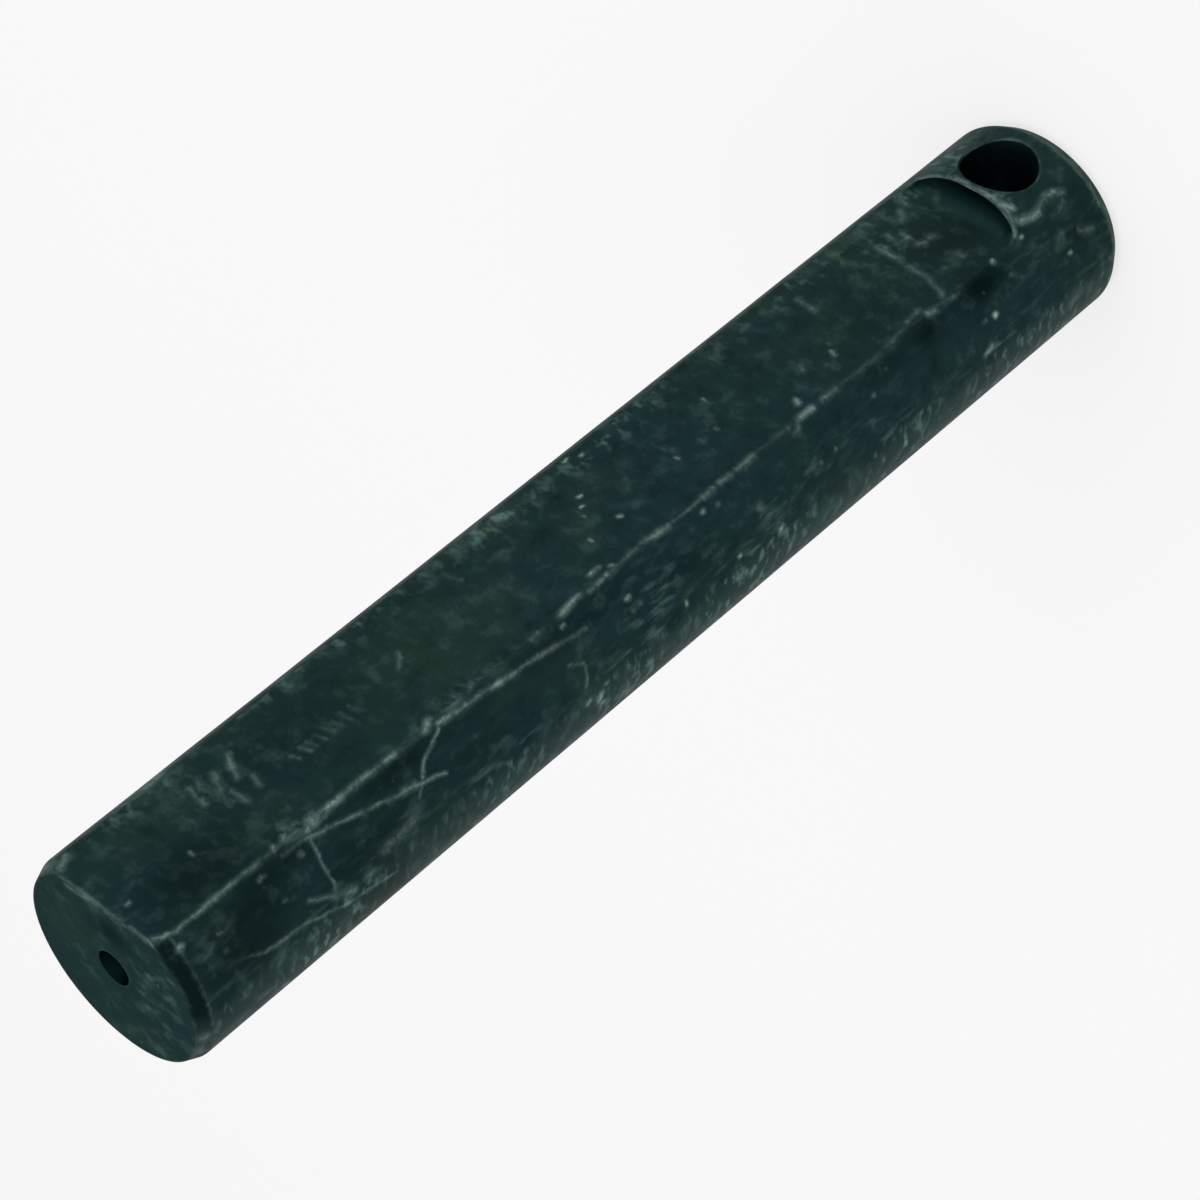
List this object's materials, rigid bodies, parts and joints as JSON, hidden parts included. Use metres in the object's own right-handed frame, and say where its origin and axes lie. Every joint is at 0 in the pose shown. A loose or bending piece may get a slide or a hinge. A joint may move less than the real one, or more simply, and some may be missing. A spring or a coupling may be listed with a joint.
{
  "type": "differential pin",
  "caption": "Round steel cross shaft for differential pinions, with a long milled flat ending in a shoulder and a lock hole across one end.",
  "frame": {"origin": "middle of the foot face, the end face beside the lock hole", "axes": "+Z along the pin towards its centre-drilled end, -Y out of the milled flat"},
  "size_m": [0.022, 0.022, 0.132],
  "materials": {
    "blackened_steel": "black oxide on ground steel, worn bright along the flat's edges"
  },
  "bodies": {
    "root": {"differential_pin": "blackened_steel"}
  },
  "joints": []
}
